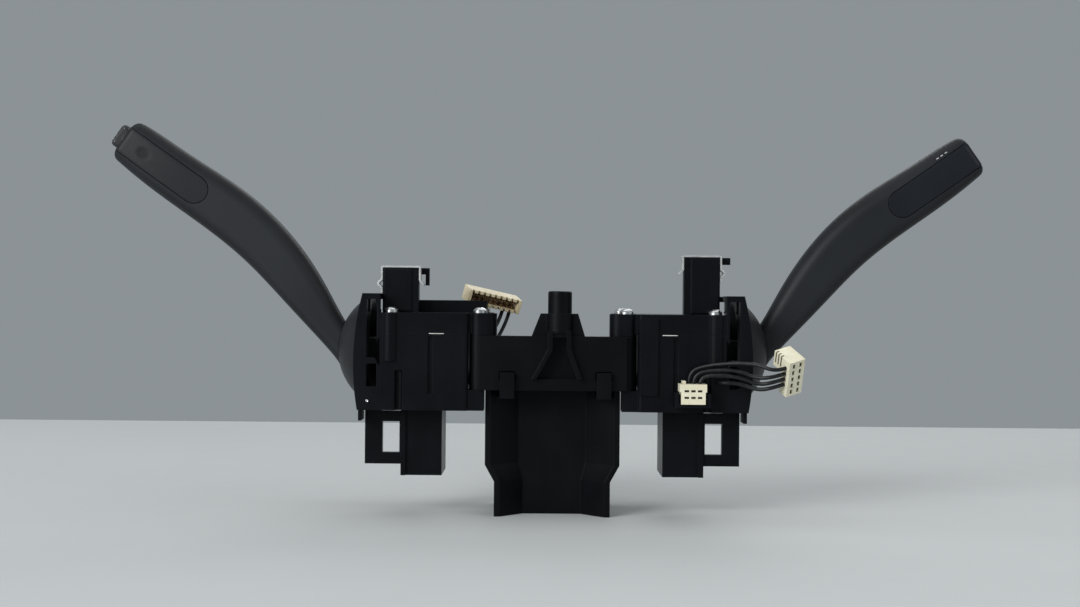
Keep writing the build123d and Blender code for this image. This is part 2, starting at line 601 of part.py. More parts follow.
def stalk_insert(right):
    paddle = RIGHT_PADDLE if right else LEFT_PADDLE
    depth = 3.0 if right else -BUTTON_HEIGHT / 2 - 0.2
    return arm_blank(paddle) & tongue(paddle, 0, depth)


def end_button():
    section = RectangleRounded(BUTTON_WIDTH, BUTTON_HEIGHT, 2.0)
    body = extrude(paddle_plane(LEFT_PADDLE - BUTTON_LENGTH) * section, BUTTON_LENGTH + BUTTON_PROUD)
    along = Axis((0, 0, 0), (cos(radians(PADDLE_ANGLE)), 0, sin(radians(PADDLE_ANGLE))))
    return fillet(body.faces().sort_by(along)[-1].edges(), 1.4)


def button_spring():
    start = LEFT_PADDLE - BUTTON_LENGTH - BUTTON_SPRING
    return paddle_plane(start).location * spring(2.2, 0.3, BUTTON_SPRING, 4)


def tip_board():
    start = LEFT_PADDLE - BUTTON_LENGTH - BUTTON_SPRING - TIP_BOARD
    return extrude(paddle_plane(start) * RectangleRounded(BUTTON_WIDTH, BUTTON_HEIGHT, 2.0), TIP_BOARD)


def detent_plunger():
    r = PLUNGER_RADIUS
    outline = Polyline((r, -PLUNGER_TIP + r), (r, -13.0), (0, -13.0), (0, -PLUNGER_TIP))
    nose = ThreePointArc((0, -PLUNGER_TIP), (0.7071 * r, -PLUNGER_TIP + 0.2929 * r), (r, -PLUNGER_TIP + r))
    body = revolve(Plane.XZ * make_face(outline.edges() + nose.edges()), Axis.Z)
    return Rot(Y=90) * body


def plunger_spring():
    return Pos(-13, 0, 0) * Rot(Y=90) * spring(1.5, 0.25, 8.0, 6)


# Turn slider: rides on the contact board, carried by the rocker's peg
def turn_slider():
    low = BOTTOM + WALL + 2.3
    body = block(-17.0, -5.3, -7, 7, low, -11.5)
    slot = TURN_PEG_RADIUS + 0.15
    body -= block(-TURN_PEG_X - 2.4, -TURN_PEG_X + 2.4, -slot, slot, -15.6, -11)
    for y in (-4.6, 4.6):
        body -= block(-16, -6.3, y - 1.2, y + 1.2, low - 1, low + 3)
    return body


# Pull slider: plate with a long slot round the tail's peg and a foot between the front rails
def pull_slider():
    x = -PULL_PEG_X
    slot = PULL_PEG_RADIUS + 0.15
    body = block(x - 7, x + 7, -12.4, -10.6, -7, 7)
    body -= block(x - 5.4, x + 5.8, -13, -10, -slot, slot)
    wall = -MODULE_DEPTH / 2 + WALL + SLIDE_GAP
    body += block(x - 3, x + 3, wall, -12, 2.6, 5.4)
    body += block(x - 3, x + 3, wall, wall + 2, -8, 8.6)
    return body


def contact_board():
    floor = BOTTOM + WALL
    back = MODULE_DEPTH / 2 - WALL - 2
    return block(-17.0, -5.8, -back + 5.5, back, floor, floor + 1.6)


TERMINAL_PLACES = [(-13.4 + 2.4 * column, row) for column in range(4) for row in (-4.5, 4.5)]


def harness_socket():
    half = SOCKET_HALF_DEPTH
    body = block(SOCKET_INNER, SOCKET_OUTER, -half, half, SOCKET_BOTTOM, BOTTOM)
    w = SOCKET_WALL
    body -= block(SOCKET_INNER + w, SOCKET_OUTER - w, -half + w, half - w, SOCKET_BOTTOM - 1, BOTTOM - 2)
    body += block(SOCKET_OUTER - 1.9, SOCKET_OUTER, -half - 1, -half + 0.5, SOCKET_BOTTOM, BOTTOM - 1)
    guard = Polyline((SOCKET_OUTER - 0.8, BOTTOM - 1.2), (GUARD_INNER, BOTTOM - 1.2), (GUARD_INNER, BOTTOM),
                     (GUARD_OUTER, BOTTOM), (GUARD_OUTER, GUARD_BOTTOM), (SOCKET_OUTER - 0.8, GUARD_BOTTOM),
                     close=True)
    window = block(SOCKET_OUTER + 0.6, GUARD_INNER - 0.6, -20, 0, GUARD_BOTTOM + 4.4, BOTTOM - 5.2)
    frame = Pos(0, -half, 0) * extrude(Plane.XZ * make_face(guard), -3.2)
    body += frame - window
    hole = PIN_SIDE / 2 + 0.05
    for x, y in TERMINAL_PLACES:
        body -= block(x - hole, x + hole, y - hole, y + hole, BOTTOM - 3, BOTTOM + 1)
    return body


def terminals():
    half = PIN_SIDE / 2
    pins = []
    for x, y in TERMINAL_PLACES:
        pins.append(block(x - half, x + half, y - half, y + half, BOTTOM - 14, BOTTOM + WALL))
    return Compound(children=pins)


# Loose connectors and leads
def plug_holder():
    front = PIVOT_Y - MODULE_DEPTH / 2
    x0, x1 = SIX_WAY_X - 6.8, SIX_WAY_X + 6.8
    low = SIX_WAY_Z - 5.4
    body = block(x0, x1, front - 8.4, front, low, SIX_WAY_Z)
    return body - block(SIX_WAY_X - 5.2, SIX_WAY_X + 5.2, front - 9, front - 1.4, low + 1.4, SIX_WAY_Z + 1)


def six_way_plug():
    front = PIVOT_Y - MODULE_DEPTH / 2
    x, z = SIX_WAY_X, SIX_WAY_Z
    body = block(x - 4.6, x + 4.6, front - 9.6, front - 1.6, z - 4.0, z + 3.6)
    body += block(x - 5.1, x + 5.1, front - 9.6, front - 1.6, z + 0.6, z + 3.6)
    for column in (-1, 0, 1):
        for row in (-0.5, 0.5):
            cx, cz = x + column * CAVITY_PITCH, z - 0.2 + row * CAVITY_PITCH
            body -= block(cx - 0.85, cx + 0.85, front - 11, front - 7.6, cz - 0.4, cz + 0.4)
    body += block(x - 4.0, x - 2.8, front - 8.4, front - 3, z + 3.2, z + 4.8)
    return body


TEN_WAY = Pos(PIVOT_X + 28.2, PIVOT_Y - 30, PIVOT_Z - 6) * Rot(X=33) * Rot(Z=28)
HEADER = Pos(35.8 - PIVOT_X, PIVOT_Y + 17, PIVOT_Z + HUMP_TOP + 0.6) * Rot(X=14) * Rot(Z=15) * Rot(Y=16)


def ten_way_plug():
    body = block(-3.5, 3.5, -4.9, -0.4, -7.8, 7.8)
    body += block(-3.5, 3.5, -1, 4.9, 1.4, 7.8)
    for column in (-0.5, 0.5):
        for row in range(5):
            u, v = column * 3.0, (row - 2) * 2.9
            body -= block(u - 0.5, u + 0.5, -6, -3.2, v - 0.95, v + 0.95)
    for tooth in range(3):
        body -= block(-4, -2.2, 0.2 + 1.6 * tooth, 0.9 + 1.6 * tooth, 3, 8)
    return TEN_WAY * body


def left_header():
    length = 8 * HEADER_PITCH + 3.4
    high = HEADER_HALF_HEIGHT
    body = block(-length / 2, length / 2, -5, 5, -high, high)
    body -= block(-length / 2 + 1.3, length / 2 - 1.3, -6, 2.4, -high + 1.1, high - 1.1)
    for way in range(9):
        u = (way - 4) * HEADER_PITCH
        body -= block(u - 0.5, u + 0.5, -6, -2.6, -high - 1, -high + 1.4)
        body -= block(u - 0.5, u + 0.5, -6, -3.8, high - 1.4, high + 1)
    return HEADER * body


def left_header_pins():
    pins = []
    for way in range(8):
        for row in (-0.85, 0.85):
            u = (way - 3.5) * HEADER_PITCH
            pins.append(HEADER * block(u - 0.32, u + 0.32, -2.6, 2.4, row - 0.32, row + 0.32))
    return Compound(children=pins)


def spot(frame, u, w, v):
    point = (frame * Pos(u, w, v)).position
    return (point.X, point.Y, point.Z)


# Routes of the leads: from the six-way plug or the module to the ten-way plug, in points
def right_routes():
    top = SIX_WAY_Z + 3.6
    front = PIVOT_Y - MODULE_DEPTH / 2
    y1, y2, y3 = front - 3.2, front - 5.2, front - 7.2
    ends = [(spot(TEN_WAY, -8.5, -2.6, v), spot(TEN_WAY, -3.5, -2.6, v)) for v in (4.4, 1.9, -0.6, -3.1)]
    x, z = SIX_WAY_X, PIVOT_Z
    return [
        [(x - 1.1, y1, top), (x - 1.1, y1, top + 4.4), (x + 4.7, y1 - 1, z - 4.2),
         (x + 13.9, y1 - 4, z - 3), (x + 23.5, y1 - 7, z - 3), *ends[0]],
        [(x + 0.5, y2, top), (x + 0.5, y2, top + 3.8), (x + 8.5, y2 - 1, z - 5.6),
         (x + 17.3, y2 - 2.4, z - 5.8), (x + 23.7, y2 - 4, z - 8.6), *ends[1]],
        [(x + 2.7, y3, top), (x + 2.7, y3, top + 3.0), (x + 10.7, y3 - 0.8, z - 7.5),
         (x + 18.5, y3 - 0.9, z - 8.4), (x + 24.5, y3 - 1.4, z - 11), *ends[2]],
        [(PIVOT_X + 2.2, front, z - 10.7), (PIVOT_X + 2.4, front - 4.4, z - 10.6),
         (x + 17.5, front - 5, z - 10.6), (x + 24.7, front - 6.4, z - 13.2), *ends[3]],
    ]


def left_routes():
    inner = INBOARD - PIVOT_X
    z = PIVOT_Z - 4.4
    routes = []
    for u, y, out, rise in ((5.0, PIVOT_Y + 6, 6.4, 9.6), (8.0, PIVOT_Y + 9, 8.6, 6.4)):
        routes.append([
            (inner, y, z), (inner + 4.8, y, z), (inner + out, y + 0.8, z + rise),
            spot(HEADER, u, -2.0, -HEADER_HALF_HEIGHT - 5.6),
            spot(HEADER, u, -2.0, -HEADER_HALF_HEIGHT),
        ])
    return routes


save(column_saddle(), "column_saddle")
save(column_carrier(), "column_carrier")
for right in (False, True):
    side = "right" if right else "left"
    turn, pull = ("wipe", "wash") if right else ("turn", "flash")
    pieces = {
        "module_housing": module_housing(right),
        "module_cover": module_cover(right),
        "shroud_clip": shroud_clip(right),
        "module_screws": module_screws(),
        "bezel_frame": bezel_frame(),
        "detent_cam": detent_cam(RIGHT_DETENTS if right else LEFT_DETENTS),
        "rocker": rocker(),
        "pivot_pin": pivot_pin(),
        "lever_hub": lever_hub(),
        "stalk_arm": stalk_arm(right),
        "stalk_insert": stalk_insert(right),
        "detent_plunger": detent_plunger(),
        "plunger_spring": plunger_spring(),
        f"{turn}_slider": turn_slider(),
        f"{pull}_slider": pull_slider(),
        "contact_board": contact_board(),
        "harness_socket": harness_socket(),
        "terminals": terminals(),
    }
    for name, shape in pieces.items():
        save(place(shape, right), f"{side}_{name}")
save(place(end_button(), False), "left_end_button")
save(place(button_spring(), False), "left_button_spring")
save(place(tip_board(), False), "left_tip_board")
save(plug_holder(), "right_plug_holder")
save(six_way_plug(), "six_way_plug")
save(ten_way_plug(), "ten_way_plug")
save(left_header(), "left_header")
save(left_header_pins(), "left_header_pins")
for number, route in enumerate(right_routes(), 1):
    save(lead(route, bend_radii(route)), f"right_lead_{number}")
for number, route in enumerate(left_routes(), 1):
    save(lead(route, bend_radii(route)), f"left_lead_{number}")
for number, route in enumerate(right_routes() + left_routes(), 1):
    points = [tuple(round(v, 2) for v in point) for point in route]
    print(number, points, [round(r, 2) for r in bend_radii(route)])
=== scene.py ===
import math

import bpy
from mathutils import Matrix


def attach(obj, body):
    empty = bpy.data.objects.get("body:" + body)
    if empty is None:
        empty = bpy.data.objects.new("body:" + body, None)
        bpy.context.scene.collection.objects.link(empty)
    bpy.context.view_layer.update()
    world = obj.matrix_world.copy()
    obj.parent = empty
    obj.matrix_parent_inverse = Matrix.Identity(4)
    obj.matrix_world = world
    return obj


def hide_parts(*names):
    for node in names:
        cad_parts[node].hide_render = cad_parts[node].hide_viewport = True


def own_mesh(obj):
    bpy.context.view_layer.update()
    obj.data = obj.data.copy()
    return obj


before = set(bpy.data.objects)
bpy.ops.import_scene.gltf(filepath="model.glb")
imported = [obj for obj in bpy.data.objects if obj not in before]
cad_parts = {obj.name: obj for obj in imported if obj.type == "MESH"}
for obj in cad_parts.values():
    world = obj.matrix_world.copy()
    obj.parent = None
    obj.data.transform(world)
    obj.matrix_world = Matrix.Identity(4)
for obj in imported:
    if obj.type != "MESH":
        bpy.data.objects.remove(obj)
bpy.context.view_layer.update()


# The worktop that the switch stands on: a plain pale sheet that ends a little behind the switch,
# with a faintly uneven matt paint. It is the stage, not a piece of the switch.

class Tone:
    """A value in a finish. Sums on it add Math nodes, and node() adds any other node."""

    def __init__(self, tree, socket=None):
        self.tree = tree
        self.socket = socket

    def node(self, kind, settings=None, inputs=None, out=0):
        made = self.tree.nodes.new("ShaderNode" + kind)
        for name, value in (settings or {}).items():
            setattr(made, name, value)
        for name, value in (inputs or {}).items():
            if isinstance(value, Tone):
                self.tree.links.new(value.socket, made.inputs[name])
            else:
                made.inputs[name].default_value = value
        return Tone(self.tree, made.outputs[out])

    def maths(self, operation, *terms):
        return self.node("Math", {"operation": operation}, dict(enumerate(terms)))

    def __add__(self, other):
        return self.maths("ADD", self, other)

    def __radd__(self, other):
        return self.maths("ADD", other, self)

    def __sub__(self, other):
        return self.maths("SUBTRACT", self, other)

    def __rsub__(self, other):
        return self.maths("SUBTRACT", other, self)

    def __mul__(self, other):
        return self.maths("MULTIPLY", self, other)

    def __rmul__(self, other):
        return self.maths("MULTIPLY", other, self)

    def __truediv__(self, other):
        return self.maths("DIVIDE", self, other)

    def __abs__(self):
        return self.maths("ABSOLUTE", self)

    def limited(self):
        """The value held between 0 and 1."""
        return self.node("Clamp", None, {"Value": self})

    def between(self, low, high):
        """0 below low, 1 above high, eased in between."""
        return self.node("MapRange", {"interpolation_type": "SMOOTHSTEP"},
                         {"Value": self, "From Min": low, "From Max": high})

    def blend(self, first, second):
        """A colour that goes from first to second with this value, by the Mix node's colour sockets."""
        return self.node("Mix", {"data_type": "RGBA"}, {0: self, 6: first, 7: second}, 2)


def new_finish(name, constants):
    """A material with its even values set, the place on the piece, and a feed for what varies."""
    finish = bpy.data.materials.new(name)
    finish.use_nodes = True
    shader = finish.node_tree.nodes["Principled BSDF"]
    for socket, value in constants.items():
        shader.inputs[socket].default_value = value
    place = Tone(finish.node_tree).node("TexCoord", None, None, "Object")

    def feed(socket, tone):
        finish.node_tree.links.new(tone.socket, shader.inputs[socket])

    return finish, place, feed


def cloud(place, scale, detail=2.0, rough=0.5):
    """Soft patches about one over scale metres across."""
    return place.node("TexNoise", None, {"Vector": place, "Scale": scale,
                                         "Detail": detail, "Roughness": rough})


WORKTOP_WIDTH = 6.0
WORKTOP_FRONT = -2.5
WORKTOP_BACK = 0.391
WORKTOP_COLOUR = (0.52, 0.545, 0.55, 1)
WORKTOP_DULLER = (0.50, 0.523, 0.528, 1)
bpy.ops.object.select_all(action="DESELECT")
bpy.ops.mesh.primitive_plane_add(size=1, location=(0, (WORKTOP_FRONT + WORKTOP_BACK) / 2, 0))
worktop = bpy.context.object
worktop.name = "worktop"
worktop.scale = (WORKTOP_WIDTH, WORKTOP_BACK - WORKTOP_FRONT, 1)
bpy.ops.object.transform_apply(location=True, rotation=True, scale=True)
paint, place, feed = new_finish("worktop_paint", {"Specular IOR Level": 0.2})
uneven = cloud(place, 2.4, 3.0).between(0.3, 0.7)
feed("Base Color", uneven.blend(WORKTOP_DULLER, WORKTOP_COLOUR))
feed("Roughness", 0.5 + 0.2 * cloud(place, 40.0))
worktop.data.materials.append(paint)


# Studio light: a large soft key lamp high on the left in front, a weak fill lamp on the right,
# a weak lamp overhead and one high behind, and even light from all round. Plain grey is seen
# behind the switch, and the camera stands straight in front.

LAMPS = [  # name, place, point it faces, size, watts
    ("key_lamp", (-1.36, -1.44, 0.86), (0, 0, 0.09), (1.15, 1.15), 42.0),
    ("fill_lamp", (0.95, -0.55, 0.55), (0, 0, 0.08), (0.6, 0.6), 2.4),
    ("top_lamp", (0, 0.1, 1.15), (0, 0.02, 0.05), (1.2, 0.7), 3.0),
    ("back_lamp", (0.55, 1.50, 1.30), (0, 0, 0.08), (1.4, 1.0), 9.0),
]
for name, stand, aim, size, watts in LAMPS:
    lamp = bpy.data.lights.new(name, "AREA")
    lamp.shape = "RECTANGLE"
    lamp.size, lamp.size_y = size
    lamp.energy = watts
    holder = bpy.data.objects.new(name, lamp)
    bpy.context.scene.collection.objects.link(holder)
    holder.location = stand
    away = [a - s for a, s in zip(aim, stand)]
    run = math.hypot(away[0], away[1])
    heading = math.atan2(away[0], -away[1]) + math.pi
    holder.rotation_euler = (math.atan2(run, -away[2]), 0, heading)

EVEN_LIGHT = (0.93, 0.97, 1.0, 1)
EVEN_STRENGTH = 0.34
BACKGROUND_GREY = (0.262, 0.288, 0.302, 1)
world = bpy.data.worlds.new("room_light")
bpy.context.scene.world = world
world.use_nodes = True
room = Tone(world.node_tree)
even = room.node("Background", None, {"Color": EVEN_LIGHT, "Strength": EVEN_STRENGTH})
grey = room.node("Background", None, {"Color": BACKGROUND_GREY, "Strength": 1.0})
seen = room.node("LightPath", None, None, "Is Camera Ray")
for ray in ("Is Glossy Ray", "Is Transmission Ray"):
    seen = seen + room.node("LightPath", None, None, ray)
shown = room.node("MixShader", None, {0: seen.limited(), 1: even, 2: grey})
world.node_tree.links.new(shown.socket, world.node_tree.nodes["World Output"].inputs["Surface"])
bpy.context.scene.view_settings.view_transform = "Standard"

CAMERA_PLACE = (-0.0052, -0.583, 0.0824)
CAMERA_ROLL = math.radians(-0.5)
HALF_WIDTH_PIXELS = 540
FOCAL_PIXELS = 1425
camera_data = bpy.data.cameras.new("photo_camera")
camera_data.sensor_fit = "HORIZONTAL"
camera_data.angle = 2 * math.atan(HALF_WIDTH_PIXELS / FOCAL_PIXELS)
camera_data.clip_start = 0.01
camera = bpy.data.objects.new("photo_camera", camera_data)
bpy.context.scene.collection.objects.link(camera)
camera.location = CAMERA_PLACE
camera.rotation_euler = (math.radians(90), CAMERA_ROLL, 0)
bpy.context.scene.camera = camera


# Leads: four black insulated wires from the six-way plug to the ten-way plug on the right,
# and two from the left module up to its header. Stranded copper in soft vinyl, 1.5 mm over all,
# crimped to terminals that snap into the plugs.

def bumped(place, height, strength, distance, normal=None):
    """A normal with fine relief, over another normal where one is given."""
    inputs = {"Strength": strength, "Distance": distance, "Height": height}
    if normal:
        inputs["Normal"] = normal
    return place.node("Bump", None, inputs)


LEAD_DIAMETER = 0.0015
LEAD_ROUTES_MM = {
    "right_lead_1": [(51.8, -40.2, 52.4), (51.8, -40.2, 56.8), (57.6, -41.2, 59.2),
                     (66.8, -44.2, 60.4), (76.4, -47.2, 60.4), (82.72, -50.67, 57.67),
                     (87.13, -48.7, 58.94)],
    "right_lead_2": [(53.4, -42.2, 52.4), (53.4, -42.2, 56.2), (61.4, -43.2, 57.8),
                     (70.2, -44.6, 57.6), (76.6, -46.2, 54.8), (82.72, -49.31, 55.57),
                     (87.13, -47.34, 56.85)],
    "right_lead_3": [(55.6, -44.2, 52.4), (55.6, -44.2, 55.4), (63.6, -45.0, 55.9),
                     (71.4, -45.1, 55.0), (77.4, -45.6, 52.4), (82.72, -47.95, 53.47),
                     (87.13, -45.98, 54.75)],
    "right_lead_4": [(63.0, -37.0, 52.7), (63.2, -41.4, 52.8), (70.4, -42.0, 52.8),
                     (77.6, -43.4, 50.2), (82.72, -46.58, 51.38), (87.13, -44.61, 52.65)],
    "left_lead_1": [(-32.6, -7, 59), (-27.8, -7, 59), (-26.2, -6.2, 68.6),
                    (-22.1, 5.05, 74.42), (-20.61, 4.14, 79.74)],
    "left_lead_2": [(-32.6, -4, 59), (-27.8, -4, 59), (-24, -3.2, 65.4),
                    (-19.32, 5.98, 73.8), (-17.83, 5.06, 79.12)],
}
MM_PER_METRE = 1000
VINYL_BLACK = (0.0045, 0.0052, 0.0065, 1)
VINYL_SMEARED = (0.016, 0.017, 0.019, 1)

vinyl, place, feed = new_finish("lead_vinyl", {"Specular IOR Level": 0.30})
smear = cloud(place, 420.0, 3.0)
feed("Base Color", smear.between(0.45, 0.8).blend(VINYL_BLACK, VINYL_SMEARED))
feed("Roughness", 0.30 + 0.25 * smear)
feed("Normal", bumped(place, cloud(place, 2600.0), strength=0.25, distance=0.00005))

for name, route in LEAD_ROUTES_MM.items():
    line = bpy.data.curves.new(name + "_wire", "CURVE")
    line.dimensions = "3D"
    spline = line.splines.new("NURBS")
    spline.points.add(len(route) - 1)
    for point, spot in zip(spline.points, route):
        point.co = (*[c / MM_PER_METRE for c in spot], 1)
    spline.order_u = 3
    spline.use_endpoint_u = True
    spline.resolution_u = 10
    line.bevel_depth = LEAD_DIAMETER / 2
    line.bevel_resolution = 4
    line.use_fill_caps = True
    line.materials.append(vinyl)
    wire = bpy.data.objects.new(name + "_wire", line)
    bpy.context.scene.collection.objects.link(wire)
    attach(wire, "base")
    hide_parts(name)


# Column saddle, column carrier, module boxes, lids, bezels, sockets and plug holder:
# glass-filled nylon, injection moulded in near-black, with a spark-eroded grain.
# The lids are screwed to the boxes, the rest snaps.

def dress(finish, *names):
    """Gives the finish to solids of the switch."""
    for name in names:
        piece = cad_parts[name]
        if not piece.material_slots:
            piece.data.materials.append(finish)
        for held in piece.material_slots:
            held.material = finish


def times(colour, factor):
    return [c * factor for c in colour[:3]] + [1]


def stretched(place, scale, turn=(0, 0, 0)):
    """The place on the piece with its axes scaled, which draws patches out into streaks."""
    return place.node("Mapping", None, {"Vector": place, "Rotation": turn, "Scale": scale})


def along_axis(vector, axis):
    return vector.node("SeparateXYZ", None, {"Vector": vector}, axis)


def true_normal(place):
    return place.node("NewGeometry", None, None, "Normal")


def soft_normal(place, radius):
    """The normal with the edges rounded off to a radius."""
    return place.node("Bevel", {"samples": 4}, {"Radius": radius})


EDGE_GAIN = 4.0


def near_edge(place, soft):
    """How near an edge a point is, from how far the rounded normal has left the true one."""
    agree = place.node("VectorMath", {"operation": "DOT_PRODUCT"},
                       {0: soft, 1: true_normal(place)}, "Value")
    return (1 - agree) * EDGE_GAIN


DUST_GREY = (0.070, 0.072, 0.075, 1)


def black_moulding(name, colour, dust, roughness):
    """Near-black nylon: patchy and streaked, paler at the edges as wear and as a painted highlight,
    dusty where it faces up.
    """
    finish, place, feed = new_finish(name, {"Specular IOR Level": 0.08})
    patch = cloud(place, 55.0, 4.0)
    streak = cloud(stretched(place, (1.0, 6.0, 0.25)), 160.0, 3.0)
    grain = cloud(place, 3200.0)
    speck = cloud(place, 900.0, 3.0, 0.65).between(0.56, 0.72)
    soft = soft_normal(place, radius=0.0005)
    body = (patch * 0.6 + streak * 0.4).between(0.35, 0.7).blend(colour, times(colour, 1.6))
    # Paler edges: partly wear, partly a painted highlight along the edges.
    paled = (near_edge(place, soft) * cloud(place, 300.0).between(0.35, 0.6)).limited()
    body = paled.blend(body, times(colour, 3.0))
    faces_up = along_axis(true_normal(place), "Z").between(0.55, 0.95)
    settled = (faces_up * (0.35 + 0.65 * speck) * dust).limited()
    feed("Base Color", settled.blend(body, DUST_GREY))
    feed("Roughness", roughness + 0.16 * (patch - 0.5) + 0.10 * settled)
    feed("Normal", bumped(place, grain + 0.5 * streak, strength=0.35, distance=0.00005, normal=soft))
    return finish


box_black = black_moulding("box_black", (0.0029, 0.0035, 0.0047, 1), dust=0.22, roughness=0.32)
column_black = black_moulding("column_black", (0.0022, 0.0026, 0.0034, 1), dust=0.15, roughness=0.38)
bezel_black = black_moulding("bezel_black", (0.0031, 0.0037, 0.0049, 1), dust=0.18, roughness=0.32)
dress(column_black, "column_saddle", "column_carrier")
for side in ("left", "right"):
    dress(box_black, side + "_module_housing", side + "_module_cover", side + "_harness_socket")
    dress(bezel_black, side + "_bezel_frame")
dress(box_black, "right_plug_holder")


# Screws, pivot pins, shroud clips and springs: screws and pins are zinc-plated steel, turned and
# rolled; the clips are bent from bright spring strip, and the springs are wound from drawn wire.

def plated_steel(name, colour, roughness, brush, metallic):
    """Bright steel under a thin film, brushed along the axis where brush is small."""
    finish, place, feed = new_finish(name, {"Metallic": metallic})
    film = cloud(place, 260.0, 3.0)
    brushed = cloud(stretched(place, brush), 1500.0)
    mottled = (film * 0.7 + brushed * 0.3).between(0.35, 0.65)
    feed("Base Color", mottled.blend(times(colour, 0.72), colour))
    feed("Roughness", roughness + 0.18 * (brushed - 0.5) + 0.1 * film)
    soft = soft_normal(place, radius=0.00012)
    feed("Normal", bumped(place, brushed, strength=0.2, distance=0.00003, normal=soft))
    return finish


screw_zinc = plated_steel("screw_zinc", (0.70, 0.71, 0.71, 1), roughness=0.24,
                          brush=(1, 1, 1), metallic=1.0)
strip_steel = plated_steel("strip_steel", (0.74, 0.74, 0.73, 1), roughness=0.30,
                           brush=(0.2, 3, 3), metallic=0.85)
for side in ("left", "right"):
    dress(screw_zinc, side + "_module_screws", side + "_pivot_pin")
    dress(strip_steel, side + "_shroud_clip", side + "_plunger_spring")


# Button spring: wound from drawn steel wire, it stands on the tip board and pushes the end button
# out. It is a copy of its solid with the seams closed.

SEAM_GAP = 0.000002
WIRE_SMOOTHING = math.radians(50)
coil = bpy.data.objects.new("left_button_coil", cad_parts["left_button_spring"].data.copy())
bpy.context.scene.collection.objects.link(coil)
bpy.ops.object.select_all(action="DESELECT")
bpy.context.view_layer.objects.active = coil
coil.select_set(True)
bpy.ops.object.mode_set(mode="EDIT")
bpy.ops.mesh.select_all(action="SELECT")
bpy.ops.mesh.remove_doubles(threshold=SEAM_GAP)
bpy.ops.object.mode_set(mode="OBJECT")
bpy.ops.object.shade_smooth_by_angle(angle=WIRE_SMOOTHING)
coil.data.materials.clear()
coil.data.materials.append(strip_steel)
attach(coil, "left_lever")
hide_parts("left_button_spring")
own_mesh(coil)


# Rockers, detent cams and plungers inside the boxes: brown-grey acetal, moulded smooth so that
# they slide. The sliders that carry the contacts are the same resin left white.

def acetal(name, colour):
    """Smooth resin, a little uneven in colour, and glossier where it rubs."""
    finish, place, feed = new_finish(name, {"Specular IOR Level": 0.5})
    patch = cloud(place, 120.0, 3.0)
    rub_and_face_light = cloud(stretched(place, (6, 1, 1)), 500.0).between(0.5, 0.75)
    feed("Base Color", patch.between(0.3, 0.7).blend(times(colour, 0.82), colour))
    feed("Roughness", 0.36 + 0.12 * patch - 0.1 * rub_and_face_light)
    soft = soft_normal(place, radius=0.0002)
    feed("Normal", bumped(place, cloud(place, 1800.0), strength=0.15, distance=0.00003, normal=soft))
    return finish


slide_brown = acetal("slide_brown", (0.20, 0.165, 0.13, 1))
slide_white = acetal("slide_white", (0.78, 0.78, 0.74, 1))
for side in ("left", "right"):
    dress(slide_brown, side + "_rocker", side + "_detent_cam", side + "_detent_plunger")
dress(slide_white, "left_turn_slider", "left_flash_slider", "right_wipe_slider", "right_wash_slider")


# Guide lips: the thin white edge of the slider's guide strip, which shows in the slit between
# box and lid. Moulded acetal with a raised bead, clamped when the lid is screwed down.

FRONT_FACING = -0.9


def step_front(piece, border, step):
    """Sets a new piece down for good, and moves its front face along Y inside a border."""
    bpy.ops.object.transform_apply(location=True, rotation=True, scale=True)
    bpy.ops.object.mode_set(mode="EDIT")
    bpy.ops.mesh.select_mode(type="FACE")
    bpy.ops.mesh.select_all(action="DESELECT")
    bpy.ops.object.mode_set(mode="OBJECT")
    for face in piece.data.polygons:
        face.select = face.normal.y < FRONT_FACING
    bpy.ops.object.mode_set(mode="EDIT")
    bpy.ops.mesh.inset(thickness=border)
    bpy.ops.mesh.extrude_region_move(TRANSFORM_OT_translate={"value": (0, step, 0)})
    bpy.ops.object.mode_set(mode="OBJECT")


SMOOTH_BELOW = math.radians(40)


def soften(piece, width):
    """Rounds the piece's sharp edges and shades it smooth between them."""
    rounding = piece.modifiers.new("rounding", "BEVEL")
    rounding.width = width
    rounding.segments = 2
    rounding.limit_method = "ANGLE"
    bpy.ops.object.modifier_apply(modifier=rounding.name)
    bpy.ops.object.shade_smooth_by_angle(angle=SMOOTH_BELOW)
    evened = piece.modifiers.new("evened", "WEIGHTED_NORMAL")
    evened.keep_sharp = True
    bpy.ops.object.modifier_apply(modifier=evened.name)


LIP_X, LIP_Y, LIP_Z = 0.0448, -0.03625, 0.07053
LIP_SIZE = (0.0058, 0.0015, 0.00030)
LIP_BORDER = 0.00006
LIP_BEAD = 0.00012
LIP_ROUNDING = 0.00002
for side, sign in (("left", -1), ("right", 1)):
    bpy.ops.object.select_all(action="DESELECT")
    bpy.ops.mesh.primitive_cube_add(size=1, location=(sign * LIP_X, LIP_Y, LIP_Z), scale=LIP_SIZE)
    lip = bpy.context.object
    lip.name = side + "_guide_lip"
    step_front(lip, LIP_BORDER, -LIP_BEAD)
    soften(lip, LIP_ROUNDING)
    lip.data.materials.append(slide_white)
    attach(lip, "base")


# Tower plates: the flat raised panel moulded on the front of each lid's tower, of the same
# black nylon. It stands about half a millimetre proud of the rib beside it.

TOWER_FRONT = -0.0290
PLATE_RISE = 0.0006
PLATE_LOW = 0.0786
PLATE_PLAY = 0.0002
PLATE_BORDER = 0.0005
PLATE_ROUNDING = 0.0001
PLATES = [  # side, inner and outer edge along X, top
    ("left", -0.0547, -0.0664, 0.0956),
    ("right", 0.0530, 0.0647, 0.1006),
]
for side, inner, outer, top in PLATES:
    bpy.ops.object.select_all(action="DESELECT")
    bpy.ops.mesh.primitive_cube_add(
        size=1, location=((inner + outer) / 2, TOWER_FRONT, (PLATE_LOW + top) / 2),
        scale=(abs(outer - inner) - PLATE_PLAY, PLATE_RISE, top - PLATE_LOW))
    plate = bpy.context.object
    plate.name = side + "_tower_plate"
    step_front(plate, PLATE_BORDER, -PLATE_RISE / 2)
    soften(plate, PLATE_ROUNDING)
    plate.data.materials.append(box_black)
    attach(plate, "base")


